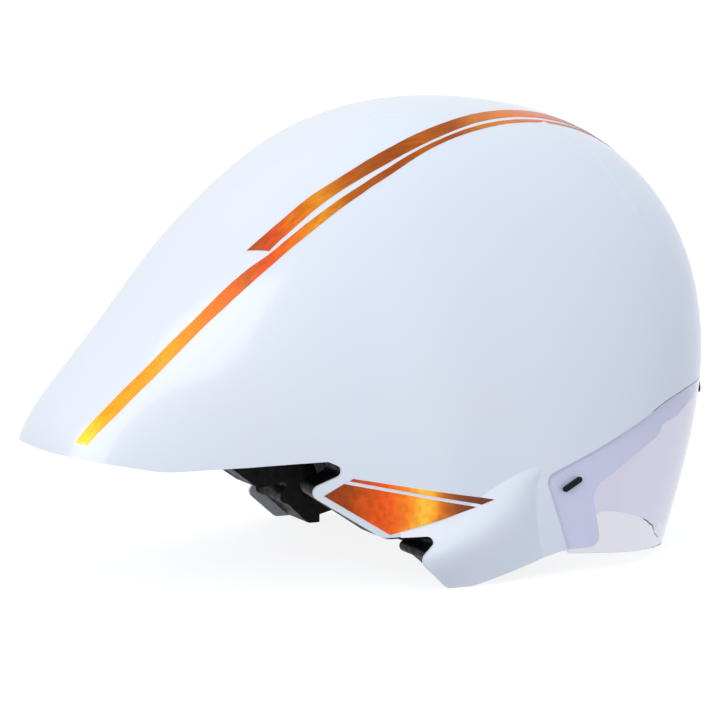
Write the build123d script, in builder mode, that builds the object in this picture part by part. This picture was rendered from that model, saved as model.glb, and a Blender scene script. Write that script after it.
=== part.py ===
# A teardrop time trial helmet with a magnet held visor, a turning fit dial and tucked straps.
# Millimetres. +X is the wearer's front, +Y the wearer's left, +Z up.
# The origin lies under the middle of the helmet, on the surface that it stands on.
from build123d import *
from math import atan2, cos, degrees, hypot, pi, radians, sin
import os

os.makedirs("parts", exist_ok=True)

# Outer body. Shares of the three body sizes place its sections and its edges.
body_length = 356.0
body_height = 225.0
body_half_width = 98.0
fan_drop = 60.0
fan_base = 40.0
arch_steps = 12
cut_overrun = 40.0

# Walls and clearances.
shell_wall = 1.6
lens_wall = 1.8
running_gap = 0.3
bond_gap = 0.2
fit_gap = 0.05

# Side gills, the two steps low on each side.
gill_blend = 7.0
gill_root = 12.0
gill_sink = 2.0
upper_gill_proud = 10.0
lower_gill_proud = 13.0
gill_foot = -15.0

# Head space.
head_length = 202.0
head_width = 158.0
head_centre = 39.0
head_shoulder = 110.0
head_top = 192.0
head_foot = 30.0
nape_channel_length = 52.0
nape_channel_width = 100.0
nape_channel_overlap = 25.0
nape_channel_top = 94.0
ear_pocket_length = 56.0
ear_pocket_height = 52.0
ear_pocket_centre = 36.0
ear_pocket_rise = 36.0
ear_pocket_depth = 9.0
neck_wall = 22.0
neck_top = 58.0
pad_thick = 6.0

# Visor buttons and the steel keepers under them.
button_length = 11.5
button_width = 2.8
button_proud = 1.1
button_stem_length = 8.0
button_stem_width = 2.0
keeper_radius = 5.0
temple_button_turn = 58.5
temple_button_lean = 74.2
brow_button_turn = 39.6
brow_button_lean = 20.5

# Tail floor.
floor_wall = 2.2
floor_rise = 1.2
floor_slot_length = 30.0
floor_slot_width = 5.0
floor_slot_pitch = 15.0
floor_slot_centre = -128.0
floor_slot_count = 3
screw_radius = 1.5
screw_length = 12.0
screw_head_radius = 3.0
screw_head_height = 1.4
screw_half_spacing = 34.0
screw_place = -99.0
screw_hex_width = 2.0
screw_hex_depth = 0.9
screw_seat = 0.9

# Fit system: every ring below turns about the upright axis through the origin.
dial_height = 66.0
plate_outer = 58.0
plate_wall = 2.6
plate_half_height = 17.0
plate_turn = 20.0
strap_wall = 1.2
strap_half_height = 7.0
strap_front_turn = 60.0
strap_tail_turn = 7.5
window_half_height = 5.2
window_near_turn = 4.8
window_far_turn = 16.5
rack_tooth_depth = 0.7
rack_tooth_count = 8
arm_half_height = 9.0
arm_eye_radius = 8.0
arm_eye_height = 74.0
pin_radius = 3.0
pin_head_radius = 5.0
pin_head_wall = 1.6
post_radius = 4.0
post_root = 10.0
pinion_radius = 4.2
pinion_teeth = 10
pinion_groove = 1.1
housing_wall = 1.8
knob_radius = 14.0
knob_depth = 10.0
knob_hub_radius = 3.0
grip_wall = 1.6
grip_flutes = 18
grip_flute_radius = 1.1
clip_width = 7.0
clip_turn = 44.0
nape_pad_thick = 5.0
tab_wall = 2.4
tab_turn = 8.0
tab_half_height = 8.0
cap_wall = 1.4

# Webbing and buckle, tucked up in the head space.
web_width = 15.0
web_wall = 1.2
web_half_span = 69.0
web_centre = 18.0
web_shoulder = 96.0
side_web_width = 12.0
front_anchor = 62.0
rear_anchor = -23.0
rear_anchor_inset = 57.3
anchor_height = 92.0
anchor_radius = 6.0
anchor_wall = 2.4
anchor_shaft_radius = 3.0
anchor_shaft_length = 9.0
divider_height = 18.0
divider_length = 24.0
divider_wall = 4.4
divider_width = 30.0
buckle_width = 22.0
buckle_wall = 8.0
buckle_female_length = 20.0
buckle_male_length = 12.0
buckle_tongue_length = 14.0
buckle_tongue_width = 11.0
buckle_tongue_wall = 3.0
buckle_tongue_shift = 1.0
buckle_inset = 2.0
buckle_height = 73.0
loop_height = 5.0
loop_wall = 1.0
loop_place = 44.0
chin_pad_turn = 25.0
chin_pad_wall = 2.0
chin_pad_width = 19.0

# Ridge place (along, up), half width and roundness of each body section, nose to tail.
section_shares = [
    (0.409, -0.105, 0.90, 2.2),
    (0.436, 0.040, 0.95, 2.2),
    (0.473, 0.238, 0.99, 2.2),
    (0.495, 0.490, 1.00, 2.25),
    (0.440, 0.756, 1.00, 2.35),
    (0.307, 0.929, 1.00, 2.4),
    (0.140, 0.994, 1.00, 2.4),
    (-0.028, 0.977, 1.00, 2.4),
    (-0.178, 0.864, 0.95, 2.35),
    (-0.298, 0.698, 0.865, 2.3),
    (-0.391, 0.524, 0.75, 2.35),
    (-0.448, 0.415, 0.68, 2.6),
    (-0.489, 0.316, 0.61, 3.0),
    (-0.489, 0.198, 0.55, 3.0),
]
# Top corners of each gill in side view, rear and front.
upper_gill_shares = [(-0.210, 0.243), (0.070, 0.391)]
lower_gill_shares = [(-0.072, 0.101), (0.146, 0.238)]
# Lower edge of the shell in side view: tail, upper gill, lower gill, recess foot, face opening.
shell_edge_shares = [
    (-0.540, 0.302), (-0.440, 0.270), (-0.360, 0.247), (-0.256, 0.254), (-0.160, 0.266),
    (-0.133, 0.246), (-0.187, 0.202), (-0.092, 0.103), (-0.026, 0.112), (-0.062, 0.064),
    (-0.018, 0.000), (0.017, 0.000), (0.160, 0.051), (0.227, 0.050), (0.213, 0.173),
    (0.284, 0.232), (0.335, 0.271), (0.345, 0.294), (0.374, 0.302), (0.410, 0.330),
    (0.560, 0.345), (0.560, 1.200), (-0.540, 1.200),
]
shell_edge_radii = [
    1, 60, 60, 60, 2, 3, 4, 8, 2, 4, 4, 6, 6, 5, 8, 20, 5, 4, 6, 12, 1, 1, 1,
]
liner_edge_shares = [
    (-0.330, 0.268), (-0.256, 0.270), (-0.162, 0.272), (-0.128, 0.244), (-0.178, 0.201),
    (-0.087, 0.099), (-0.022, 0.107), (-0.054, 0.066), (-0.030, 0.050), (0.004, 0.000),
    (0.020, 0.000), (0.160, 0.055), (0.221, 0.056), (0.207, 0.181), (0.280, 0.242),
    (0.331, 0.280), (0.340, 0.304), (0.372, 0.314), (0.410, 0.345), (0.560, 0.362),
    (0.560, 1.200), (-0.330, 1.200),
]
liner_edge_radii = [1, 20, 2, 3, 4, 8, 2, 3, 6, 4, 6, 6, 5, 8, 20, 5, 4, 6, 12, 1, 1, 1]
# The recess that the visor lies in, and the visor's own foot.
recess_shares = [
    (0.136, 0.212), (0.226, 0.264), (0.295, 0.308), (0.348, 0.344), (0.400, 0.364),
    (0.560, 0.386), (0.560, -0.120), (0.174, -0.120), (0.174, 0.030),
]
recess_radii = [5, 40, 60, 60, 60, 1, 1, 1, 10]
lens_foot_shares = [
    (0.120, 0.047), (0.166, 0.045), (0.226, 0.036), (0.302, 0.022), (0.400, 0.004),
    (0.560, 0.004), (0.560, 1.000), (0.120, 1.000),
]
lens_foot_radii = [1, 30, 60, 60, 30, 1, 1, 1]
nose_cut_half_width = 30.0
nose_cut_height = 4.0


def side(along, up):
    """A place in side view from its shares of length and height."""
    return (along * body_length, up * body_height)


def prism(shares, radii, half_depth=body_half_width + cut_overrun, grow=0.0):
    """A side view outline, carried right across the helmet."""
    with BuildPart() as block:
        with BuildSketch(Plane.XZ):
            with BuildLine():
                FilletPolyline(*[side(*pair) for pair in shares], radius=radii, close=True)
            make_face()
            if grow:
                offset(amount=grow, kind=Kind.INTERSECTION)
        extrude(amount=half_depth, both=True)
    return block.part


def arch(reach, half, roundness, inset):
    """One section of the body, a rounded arch over the fan axis."""
    foot = fan_base - inset
    points = []
    for step in range(arch_steps + 1):
        lean = pi * (step / arch_steps - 1 / 2)
        across = (half - inset) * abs(sin(lean)) ** (2 / roundness)
        rise = (reach - inset - foot) * abs(cos(lean)) ** (2 / roundness)
        points.append((across if lean > 0 else -across, foot + rise))
    return points


def hull(inset):
    """The smooth outer body, drawn in by an even inset."""
    with BuildPart() as solid:
        for along, up, width_share, roundness in section_shares:
            x, z = side(along, up)
            rise = z + fan_drop
            reach = hypot(x, rise)
            fan = Plane((0, 0, -fan_drop), x_dir=(0, 1, 0), z_dir=(rise / reach, 0, -x / reach))
            with BuildSketch(fan):
                with BuildLine():
                    curve = Spline(*arch(reach, width_share * body_half_width, roundness, inset))
                    Line(curve @ 1, curve @ 0)
                make_face()
        loft()
    return solid.part


def section_at(turn):
    """Reach, half width and roundness of the body at any turn of the fan, in degrees."""
    rows = []
    for along, up, width_share, roundness in section_shares:
        x, z = side(along, up)
        rise = z + fan_drop
        rows.append((degrees(atan2(rise, x)), hypot(x, rise), width_share * body_half_width, roundness))
    last = len(rows) - 1
    index = max([i for i in range(last) if rows[i][0] <= turn] or [0])
    before, start, end, after = (rows[min(max(index + k, 0), last)] for k in (-1, 0, 1, 2))
    s = (turn - start[0]) / (end[0] - start[0])
    values = []
    for p0, p1, p2, p3 in zip(before[1:], start[1:], end[1:], after[1:]):
        bend = 2 * p0 - 5 * p1 + 4 * p2 - p3
        values.append(p1 + s / 2 * (p2 - p0 + s * (bend + s * (3 * (p1 - p2) + p3 - p0))))
    return values


def side_y(x, z):
    """How far out the body's side lies at a place in side view."""
    rise = z + fan_drop
    reach, half, roundness = section_at(degrees(atan2(rise, x)))
    lift = max(hypot(x, rise) - fan_base, 0) / (reach - fan_base)
    return half * max(1 - lift**roundness, 0) ** (1 / roundness)


def skin_point(turn, lean):
    """A point on the outer body, by fan turn and by lean from the ridge, in degrees."""
    reach, half, roundness = section_at(turn)
    across = half * abs(sin(radians(lean))) ** (2 / roundness)
    radius = fan_base + (reach - fan_base) * abs(cos(radians(lean))) ** (2 / roundness)
    sign = 1 if lean > 0 else -1
    return Vector(radius * cos(radians(turn)), sign * across, radius * sin(radians(turn)) - fan_drop)


def skin_plane(turn, lean):
    """The plane that touches the outer body there, with its x along the fan."""
    step = 1 / 2
    along = skin_point(turn + step, lean) - skin_point(turn - step, lean)
    across = skin_point(turn, lean + step) - skin_point(turn, lean - step)
    normal = along.cross(across)
    point = skin_point(turn, lean)
    outward = Vector(point.X, point.Y, 0)
    if normal.dot(outward) < 0:
        normal = normal * -1
    return Plane(point, x_dir=along, z_dir=normal)


def gill(shares, proud, inset):
    """One side step: a wedge that stands out at its rear and sinks in at its front."""
    (rear, top_rear), (front, top_front) = [side(*pair) for pair in shares]
    low = gill_foot
    with BuildPart() as wedge:
        for share in (0, 1 / 2, 1):
            x = rear + (front - rear) * share
            top = top_rear + (top_front - top_rear) * share
            stand = proud * (1 - share) - gill_sink * share
            outer = [
                (side_y(x, top + gill_blend) - gill_sink, top + gill_blend),
                (side_y(x, top) + stand / 4, top),
                (side_y(x, top - gill_blend) + stand, top - gill_blend),
                (side_y(x, (top + low) / 2 - gill_blend / 2) + stand, (top + low - gill_blend) / 2),
                (side_y(x, low) + stand, low),
            ]
            outer = [(-y + inset, z) for y, z in outer]
            root = -side_y(x, low) + gill_root
            with BuildSketch(Plane.YZ.offset(x)):
                with BuildLine():
                    face = Spline(*outer)
                    Polyline(face @ 1, (root, outer[-1][1]), (root, outer[0][1]), face @ 0)
                make_face()
        loft()
        mirror(about=Plane.XZ)
    return wedge.part


def body(inset):
    """The whole outer body with both gills on both sides."""
    upper = gill(upper_gill_shares, upper_gill_proud, inset)
    lower = gill(lower_gill_shares, lower_gill_proud, inset)
    return hull(inset) + upper + lower


def export(piece, label):
    piece.part.label = label
    export_step(piece.part, "parts/" + label + ".step")


# The body and its inner layers.
skin = hull(0)
outside = body(0)
floor_depth = lens_wall + running_gap + shell_wall
recess = prism(recess_shares, recess_radii)
recess_rim = prism(recess_shares, recess_radii, grow=shell_wall)
bonded_rim = prism(recess_shares, recess_radii, grow=shell_wall + bond_gap)
under_lens = hull(lens_wall)
recess_floor = hull(lens_wall + running_gap)
recess_back = hull(floor_depth)
bonded_body = body(shell_wall + bond_gap)


# Buttons hold the lens: a proud pill outside and a stem through the lens.
def button_planes():
    """The four button places, with the plane's x along each pill."""
    places = []
    for turn, lean, label in (
        (temple_button_turn, temple_button_lean, "temple"),
        (brow_button_turn, brow_button_lean, "brow"),
    ):
        for sign, hand in ((1, "left"), (-1, "right")):
            touch = skin_plane(turn, sign * lean)
            pill = (1, 0, 1 / 2) if label == "temple" else (0, sign, -1 / 2)
            places.append((label + "_" + hand, Plane(touch.origin, x_dir=pill, z_dir=touch.z_dir)))
    return places


def button(touch):
    with BuildPart() as pill:
        with BuildSketch(touch):
            SlotOverall(button_length, button_width)
        extrude(amount=button_proud, both=True)
        add(skin, mode=Mode.SUBTRACT)
    with BuildPart() as stem:
        with BuildSketch(touch.offset(button_proud / 2)):
            SlotOverall(button_stem_length, button_stem_width)
        extrude(amount=-button_stem_length / 2)
        add(under_lens, mode=Mode.SUBTRACT)
    with BuildPart() as whole:
        add(pill.part.solids().sort_by(SortBy.VOLUME)[-1])
        add(stem.part.solids().sort_by(SortBy.VOLUME)[-1])
    return whole


def keeper_bore(touch, radius):
    with BuildPart() as bore:
        with BuildSketch(touch):
            Circle(radius)
        extrude(amount=-floor_depth * 2)
    return bore.part


# Visor lens.
with BuildPart() as visor_lens:
    add(skin)
    add(under_lens, mode=Mode.SUBTRACT)
    add(prism(recess_shares, recess_radii, grow=-running_gap), mode=Mode.INTERSECT)
    add(prism(lens_foot_shares, lens_foot_radii), mode=Mode.INTERSECT)
    foot_x, foot_z = side(*lens_foot_shares[4])
    with BuildSketch(Plane.YZ.offset(foot_x - body_half_width / 2)):
        with Locations((0, foot_z)):
            Ellipse(nose_cut_half_width, nose_cut_height)
    extrude(amount=body_half_width, mode=Mode.SUBTRACT)
    for place, touch in button_planes():
        with BuildSketch(touch):
            SlotOverall(button_stem_length + 2 * fit_gap, button_stem_width + 2 * fit_gap)
        extrude(amount=button_stem_length / 2, both=True, mode=Mode.SUBTRACT)
export(visor_lens, "visor_lens")
for place, touch in button_planes():
    export(button(touch), "button_" + place)
    with BuildPart() as keeper:
        add(keeper_bore(touch, keeper_radius))
        add(recess_floor, mode=Mode.INTERSECT)
        add(recess_back, mode=Mode.SUBTRACT)
    export(keeper, "keeper_" + place)

# Outer shell: a thin skin with a sunk floor under the lens.
with BuildPart() as recess_step:
    add(skin)
    add(recess_rim, mode=Mode.INTERSECT)
    add(recess_back, mode=Mode.SUBTRACT)
    with BuildPart(mode=Mode.PRIVATE) as lens_room:
        add(recess)
        add(recess_floor, mode=Mode.SUBTRACT)
    add(lens_room.part, mode=Mode.SUBTRACT)
with BuildPart() as outer_shell:
    add(outside)
    add(body(shell_wall), mode=Mode.SUBTRACT)
    add(recess, mode=Mode.SUBTRACT)
    add(recess_step.part)
    add(prism(shell_edge_shares, shell_edge_radii), mode=Mode.INTERSECT)
    for place, touch in button_planes():
        add(keeper_bore(touch, keeper_radius + fit_gap), mode=Mode.SUBTRACT)
export(outer_shell, "outer_shell")


# Head space: a rounded dome over straight walls, drawn out along the head.
def head(inset):
    half = head_width / 2 - inset
    with BuildPart() as dome:
        with BuildSketch(Plane.XZ):
            with BuildLine():
                Line((0, -head_foot), (half, -head_foot))
                Line((half, -head_foot), (half, head_shoulder))
                EllipticalCenterArc(
                    (0, head_shoulder), half, head_top - inset - head_shoulder, arc_size=90
                )
                Line((0, head_top - inset), (0, -head_foot))
            make_face()
        revolve(axis=Axis.Z)
        scale(by=((head_length / 2 - inset) / half, 1, 1))
    return Pos(head_centre, 0, 0) * dome.part


def box_between(x_ends, y_ends, z_ends):
    """A block between two x, two y and two z values."""
    sizes = [ends[1] - ends[0] for ends in (x_ends, y_ends, z_ends)]
    middles = [(ends[1] + ends[0]) / 2 for ends in (x_ends, y_ends, z_ends)]
    return Pos(*middles) * Box(*sizes, mode=Mode.PRIVATE)


# Liner: black foam from the shell in to the head, cut away for the nape and, open below, for the ears.
head_space = head(0)
channel_front = head_centre - head_length / 2 + nape_channel_overlap
nape_channel = box_between(
    (channel_front - nape_channel_length, channel_front),
    (-nape_channel_width / 2, nape_channel_width / 2),
    (-head_foot, nape_channel_top),
)
with BuildPart() as ear_pockets:
    with BuildSketch(Plane.XZ):
        with Locations((ear_pocket_centre, ear_pocket_rise)):
            Ellipse(ear_pocket_length / 2, ear_pocket_height / 2)
        with Locations((ear_pocket_centre, -head_foot)):
            Rectangle(ear_pocket_length, ear_pocket_rise + head_foot, align=(Align.CENTER, Align.MIN))
    extrude(amount=head_width / 2 + ear_pocket_depth, both=True)


# The neck opening leaves side walls of one thickness below the tail.
with BuildPart() as neck_room:
    add(hull(neck_wall))
    below = box_between(
        (-body_length, ear_pocket_centre), (-body_half_width, body_half_width), (-fan_drop, neck_top)
    )
    add(below, mode=Mode.INTERSECT)


def cavity_half_width(x):
    """Half width of the head space below the shoulder at a place along the head."""
    share = (x - head_centre) / (head_length / 2)
    return head_width / 2 * max(1 - share**2, 0) ** (1 / 2)


def side_rod(x, z, radius, inner, outer, sign=1):
    """A round rod across the helmet, from one distance off the middle to another."""
    with BuildPart() as rod:
        with BuildSketch(Plane((x, sign * inner, z), x_dir=(1, 0, 0), z_dir=(0, sign, 0))):
            Circle(radius)
        extrude(amount=outer - inner)
    return rod.part


# Webbing planes: each side strap runs flat from its anchor down to the divider.
divider_outer = web_half_span + divider_wall
web_plane_y = divider_outer - web_wall / 2 - bond_gap
divider_top = divider_height + buckle_male_length / 2


def web_plane(anchor_x, anchor_y, sign):
    """Upright plane through the divider and an anchor, its x towards the anchor."""
    run = Vector(anchor_x - web_centre, sign * (anchor_y - web_plane_y), 0)
    return Plane((web_centre, sign * web_plane_y, 0), x_dir=run, z_dir=run.cross(Vector(0, 0, 1)))


def anchors():
    """Anchor places: the plane, how far along it the anchor lies, and a label."""
    places = []
    for sign, hand in ((1, "left"), (-1, "right")):
        for anchor_x, anchor_y, end in (
            (front_anchor, web_plane_y, "front"),
            (rear_anchor, rear_anchor_inset, "rear"),
        ):
            plane = web_plane(anchor_x, anchor_y, sign)
            along = hypot(anchor_x - web_centre, anchor_y - web_plane_y)
            out = 1 if plane.z_dir.Y * sign > 0 else -1
            places.append((plane, along, out, end + "_" + hand))
    return places


def anchor_solid(plane, along, out, grow):
    """A flat button against the webbing with a shaft into the foam."""
    with BuildPart() as solid:
        with BuildSketch(plane.offset(out * web_wall / 2)):
            with Locations((along, anchor_height)):
                Circle(anchor_radius + grow)
        extrude(amount=out * anchor_wall)
        with BuildSketch(plane.offset(out * (web_wall / 2 + anchor_wall))):
            with Locations((along, anchor_height)):
                Circle(anchor_shaft_radius + grow)
        extrude(amount=out * anchor_shaft_length)
    return solid


post_inner = plate_outer - plate_wall
post_outer = cavity_half_width(0) + post_root
screw_seat_z = side(*shell_edge_shares[3])[1] + floor_rise + screw_seat
with BuildPart() as foam_liner:
    add(bonded_body)
    with BuildPart(mode=Mode.PRIVATE) as lens_zone:
        add(bonded_rim)
        add(hull(floor_depth + bond_gap), mode=Mode.SUBTRACT)
    add(lens_zone.part, mode=Mode.SUBTRACT)
    add(prism(liner_edge_shares, liner_edge_radii), mode=Mode.INTERSECT)
    add(head_space, mode=Mode.SUBTRACT)
    add(nape_channel, mode=Mode.SUBTRACT)
    add(neck_room.part, mode=Mode.SUBTRACT)
    add(ear_pockets.part, mode=Mode.SUBTRACT)
    for plane, along, out, label in anchors():
        add(anchor_solid(plane, along, out, fit_gap).part, mode=Mode.SUBTRACT)
    for sign in (1, -1):
        post_hole = side_rod(
            0, arm_eye_height, post_radius + fit_gap, plate_outer, post_outer + fit_gap, sign
        )
        add(post_hole, mode=Mode.SUBTRACT)
    with BuildSketch(Plane.XY.offset(screw_seat_z)):
        with Locations((screw_place, screw_half_spacing), (screw_place, -screw_half_spacing)):
            Circle(screw_radius + fit_gap)
    extrude(amount=screw_length + fit_gap, mode=Mode.SUBTRACT)
export(foam_liner, "foam_liner")

# Pads lie on the foam all round the head.
pad_box_shares = {
    "brow_pad": ((0.80, 1.10), (-0.62, 0.62), (0.50, 0.62)),
    "crown_pad_middle": ((-0.20, 0.55), (-0.14, 0.14), (0.80, 1.10)),
    "crown_pad_left": ((-0.35, 0.45), (0.34, 0.64), (0.66, 1.10)),
    "crown_pad_right": ((-0.35, 0.45), (-0.64, -0.34), (0.66, 1.10)),
    "rear_pad": ((-1.10, -0.75), (-0.32, 0.32), (0.53, 0.66)),
    "temple_pad_left": ((0.36, 0.70), (0.60, 1.10), (0.45, 0.58)),
    "temple_pad_right": ((0.36, 0.70), (-1.10, -0.60), (0.45, 0.58)),
}
pad_space = head(pad_thick)
for label, (along, across, upward) in pad_box_shares.items():
    region = box_between(
        [head_centre + share * head_length / 2 for share in along],
        [share * head_width / 2 for share in across],
        [share * head_top for share in upward],
    )
    with BuildPart() as pad:
        add(head_space)
        add(pad_space, mode=Mode.SUBTRACT)
        add(region, mode=Mode.INTERSECT)
    export(pad, label)

# Tail floor: a slotted plate just inside the tail's lower edge.
floor_edge = [side(*pair) for pair in shell_edge_shares[:4]]
with BuildPart() as tail_floor:
    with BuildSketch(Plane.XZ):
        with BuildLine():
            under = [(x, z + floor_rise) for x, z in floor_edge]
            over = [(x, z + floor_rise + floor_wall) for x, z in reversed(floor_edge)]
            Polyline(*under, *over, close=True)
        make_face()
    extrude(amount=body_half_width, both=True)
    add(bonded_body, mode=Mode.INTERSECT)
    with BuildSketch(Plane.XY):
        with GridLocations(0, floor_slot_pitch, 1, floor_slot_count):
            with Locations((floor_slot_centre, 0)):
                SlotOverall(floor_slot_length, floor_slot_width)
    extrude(amount=body_height, mode=Mode.SUBTRACT)
    with BuildSketch(Plane.XY):
        with Locations((screw_place, screw_half_spacing), (screw_place, -screw_half_spacing)):
            Circle(screw_head_radius + running_gap)
    extrude(amount=screw_seat_z, mode=Mode.SUBTRACT)
    with BuildSketch(Plane.XY):
        with Locations((screw_place, screw_half_spacing), (screw_place, -screw_half_spacing)):
            Circle(screw_radius + fit_gap)
    extrude(amount=body_height, mode=Mode.SUBTRACT)
export(tail_floor, "tail_floor")
for sign, hand in ((1, "left"), (-1, "right")):
    with BuildPart() as screw:
        with BuildSketch(Plane.XY.offset(screw_seat_z - screw_head_height)):
            with Locations((screw_place, sign * screw_half_spacing)):
                Circle(screw_head_radius)
        extrude(amount=screw_head_height)
        with BuildSketch(Plane.XY.offset(screw_seat_z)):
            with Locations((screw_place, sign * screw_half_spacing)):
                Circle(screw_radius)
        extrude(amount=screw_length)
        with BuildSketch(Plane.XY.offset(screw_seat_z - screw_head_height)):
            with Locations((screw_place, sign * screw_half_spacing)):
                RegularPolygon(screw_hex_width / 2, 6)
        extrude(amount=screw_hex_depth, mode=Mode.SUBTRACT)
    export(screw, "floor_screw_" + hand)


# Fit system. A ring piece is given by its radii, its turns from the rear and its heights.
def ring(inner, outer, start, end, low, high):
    """A curved bar about the upright axis, turns in degrees from the rear towards the left."""
    with BuildPart() as bar:
        with BuildSketch(Plane.XY.offset(low)):
            with BuildLine():
                far = CenterArc((0, 0), outer, 180 - end, end - start)
                near = CenterArc((0, 0), inner, 180 - end, end - start)
                Line(far @ 0, near @ 0)
                Line(far @ 1, near @ 1)
            make_face()
        extrude(amount=high - low)
    return bar.part


def level_ring(inner, outer, start, end, half_height):
    return ring(inner, outer, start, end, dial_height - half_height, dial_height + half_height)


def rear_rod(radius, near, far):
    """A round rod along the dial's axis, between two distances behind the upright axis."""
    with BuildPart() as rod:
        with BuildSketch(Plane((-near, 0, dial_height), x_dir=(0, 1, 0), z_dir=(-1, 0, 0))):
            Circle(radius)
        extrude(amount=far - near)
    return rod.part


inner_strap_near = plate_outer + running_gap
inner_strap_far = inner_strap_near + strap_wall
outer_strap_near = inner_strap_far + running_gap
outer_strap_far = outer_strap_near + strap_wall
housing_inner = outer_strap_far + running_gap
housing_outer = housing_inner + housing_wall
slot_half_height = strap_half_height + running_gap
slot_outer_half_height = slot_half_height + housing_wall
knob_near = housing_outer + running_gap
knob_far = knob_near + knob_depth

# Nape plate, with two soft pads inside and the dial housing behind.
with BuildPart() as nape_plate:
    add(level_ring(post_inner, plate_outer, -plate_turn, plate_turn, plate_half_height))
    for sign in (1, -1):
        with BuildSketch(Plane.YZ):
            with Locations((sign * plate_half_height * 2 / 3, dial_height)):
                SlotOverall(plate_half_height, plate_half_height / 3, rotation=90)
        extrude(amount=-plate_outer * 2, mode=Mode.SUBTRACT)
export(nape_plate, "nape_plate")
for sign, hand in ((1, "left"), (-1, "right")):
    ends = sorted((sign * plate_turn / 6, sign * plate_turn))
    with BuildPart() as nape_pad:
        add(level_ring(post_inner - nape_pad_thick, post_inner, *ends, plate_half_height))
        fillet(nape_pad.edges().filter_by(Axis.Z), nape_pad_thick / 3)
    export(nape_pad, "nape_pad_" + hand)
with BuildPart() as dial_housing:
    add(level_ring(plate_outer, housing_outer, -plate_turn, plate_turn, slot_outer_half_height))
    strap_slot = level_ring(
        plate_outer - plate_wall, housing_inner, -plate_turn * 2, plate_turn * 2, slot_half_height
    )
    add(strap_slot, mode=Mode.SUBTRACT)
    add(rear_rod(knob_hub_radius + fit_gap, plate_outer, knob_far), mode=Mode.SUBTRACT)
export(dial_housing, "dial_housing")

# Dial: a pinion between the straps, a knob behind the housing, a soft grip and a cap.
with BuildPart() as dial_pinion:
    add(rear_rod(pinion_radius, plate_outer + running_gap, housing_inner - running_gap * 2))
    with BuildSketch(Plane((-plate_outer, 0, dial_height), x_dir=(0, 1, 0), z_dir=(-1, 0, 0))):
        with PolarLocations(pinion_radius, pinion_teeth):
            Circle(pinion_groove / 2)
    extrude(amount=housing_outer - plate_outer, mode=Mode.SUBTRACT)
    add(rear_rod(knob_hub_radius, housing_inner - running_gap * 2, knob_near))
export(dial_pinion, "dial_pinion")
with BuildPart() as dial_knob:
    add(rear_rod(knob_radius - grip_wall, knob_near, knob_far))
    chamfer(dial_knob.faces().sort_by(Axis.X)[0].edges(), grip_wall / 2)
    add(rear_rod(knob_hub_radius * 2, knob_far - cap_wall, knob_far), mode=Mode.SUBTRACT)
export(dial_knob, "dial_knob")
with BuildPart() as dial_cap:
    add(rear_rod(knob_hub_radius * 2 - fit_gap, knob_far - cap_wall, knob_far))
    with BuildSketch(Plane((-knob_far, 0, dial_height), x_dir=(0, 1, 0), z_dir=(-1, 0, 0))):
        SlotOverall(knob_hub_radius * 2, cap_wall)
    extrude(amount=-cap_wall / 2, mode=Mode.SUBTRACT)
export(dial_cap, "dial_cap")
with BuildPart() as dial_grip:
    add(rear_rod(knob_radius, knob_near + grip_wall / 2, knob_far - grip_wall))
    add(rear_rod(knob_radius - grip_wall, knob_near, knob_far), mode=Mode.SUBTRACT)
    with BuildSketch(Plane((-knob_near, 0, dial_height), x_dir=(0, 1, 0), z_dir=(-1, 0, 0))):
        with PolarLocations(knob_radius + grip_flute_radius / 2, grip_flutes):
            Circle(grip_flute_radius)
    extrude(amount=knob_depth, mode=Mode.SUBTRACT)
export(dial_grip, "dial_grip")


def rack_strap(near, far, sign):
    """One fit strap: a band with a toothed window round the pinion."""
    ends = sorted((-sign * strap_tail_turn, sign * strap_front_turn))
    window = sorted((-sign * window_near_turn, sign * window_far_turn))
    pitch = (window_far_turn - window_near_turn) / rack_tooth_count
    with BuildPart() as strap:
        add(level_ring(near, far, *ends, strap_half_height))
        add(level_ring(near - fit_gap, far + fit_gap, *window, window_half_height), mode=Mode.SUBTRACT)
        for tooth in range(rack_tooth_count):
            middle = sign * (window_near_turn / 2 + (tooth + 1 / 2) * pitch)
            edge = dial_height + sign * window_half_height
            ends = sorted((edge, edge - sign * rack_tooth_depth))
            add(ring(near, far, middle - pitch / 4, middle + pitch / 4, *ends))
    return strap


strap_layers = (
    ("left", 1, inner_strap_near, inner_strap_far),
    ("right", -1, outer_strap_near, outer_strap_far),
)
for hand, sign, near, far in strap_layers:
    export(rack_strap(near, far, sign), "rack_strap_" + hand)
    ends = sorted((sign * strap_front_turn, sign * (strap_front_turn + tab_turn)))
    with BuildPart() as tab:
        add(level_ring(near, near + tab_wall, *ends, tab_half_height))
        fillet(tab.edges().filter_by(Axis.Z), tab_wall / 3)
    export(tab, "strap_tab_" + hand)

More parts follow.
